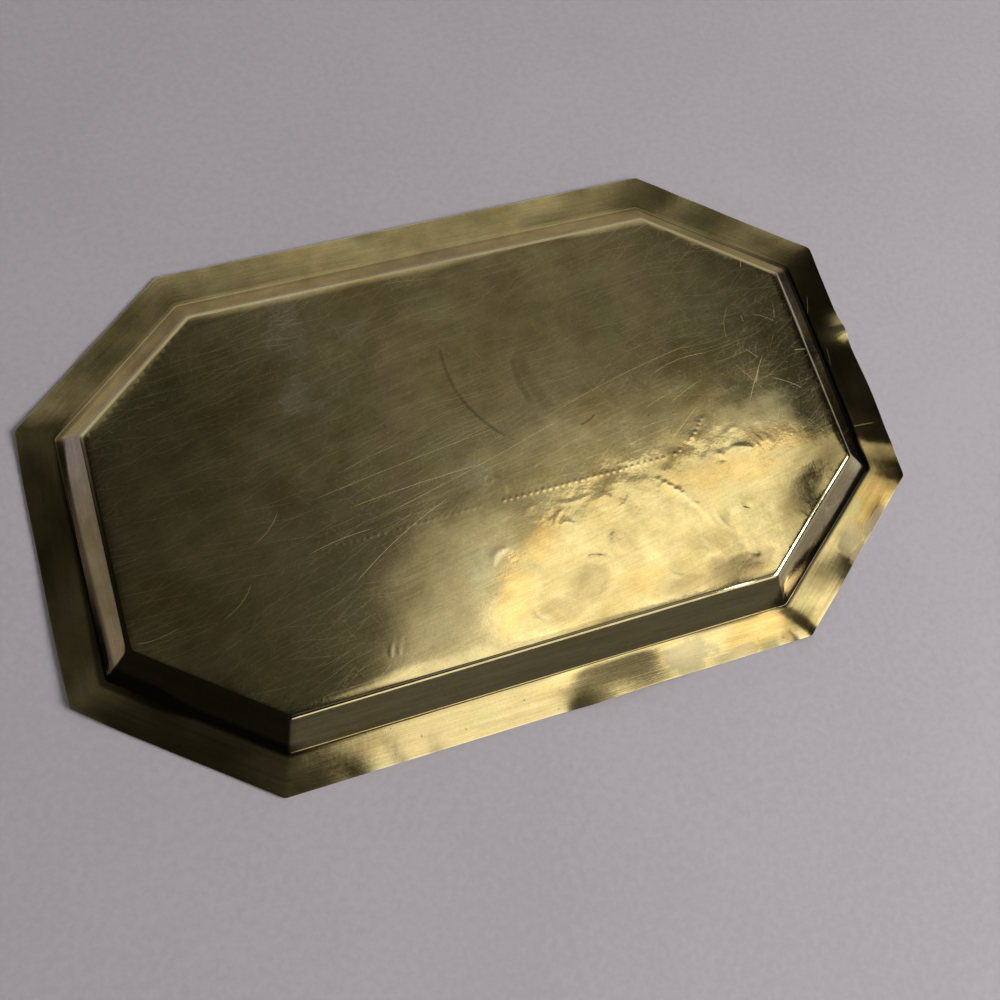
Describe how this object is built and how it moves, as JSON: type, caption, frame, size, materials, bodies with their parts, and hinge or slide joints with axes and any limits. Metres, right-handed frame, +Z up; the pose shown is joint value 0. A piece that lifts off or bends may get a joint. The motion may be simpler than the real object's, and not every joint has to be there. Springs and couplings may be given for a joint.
{
  "type": "coin tray",
  "caption": "Shallow eight-sided brass tray pressed from one sheet, with sloping walls and a flat rim, lying face down.",
  "frame": {"origin": "centre of the footprint, on the surface that the rim's face lies on while the tray is face down", "axes": "+X along the tray's length, +Y across it, +Z up through the back of the floor panel; in use the tray is turned over, so its hollow opens towards -Z"},
  "size_m": [0.28, 0.175, 0.0102],
  "materials": {
    "aged_brass": "worn satin brass with an olive brown tarnish, fine brushing and scratches"
  },
  "bodies": {
    "root": {"tray_pan": "aged_brass"}
  },
  "joints": []
}
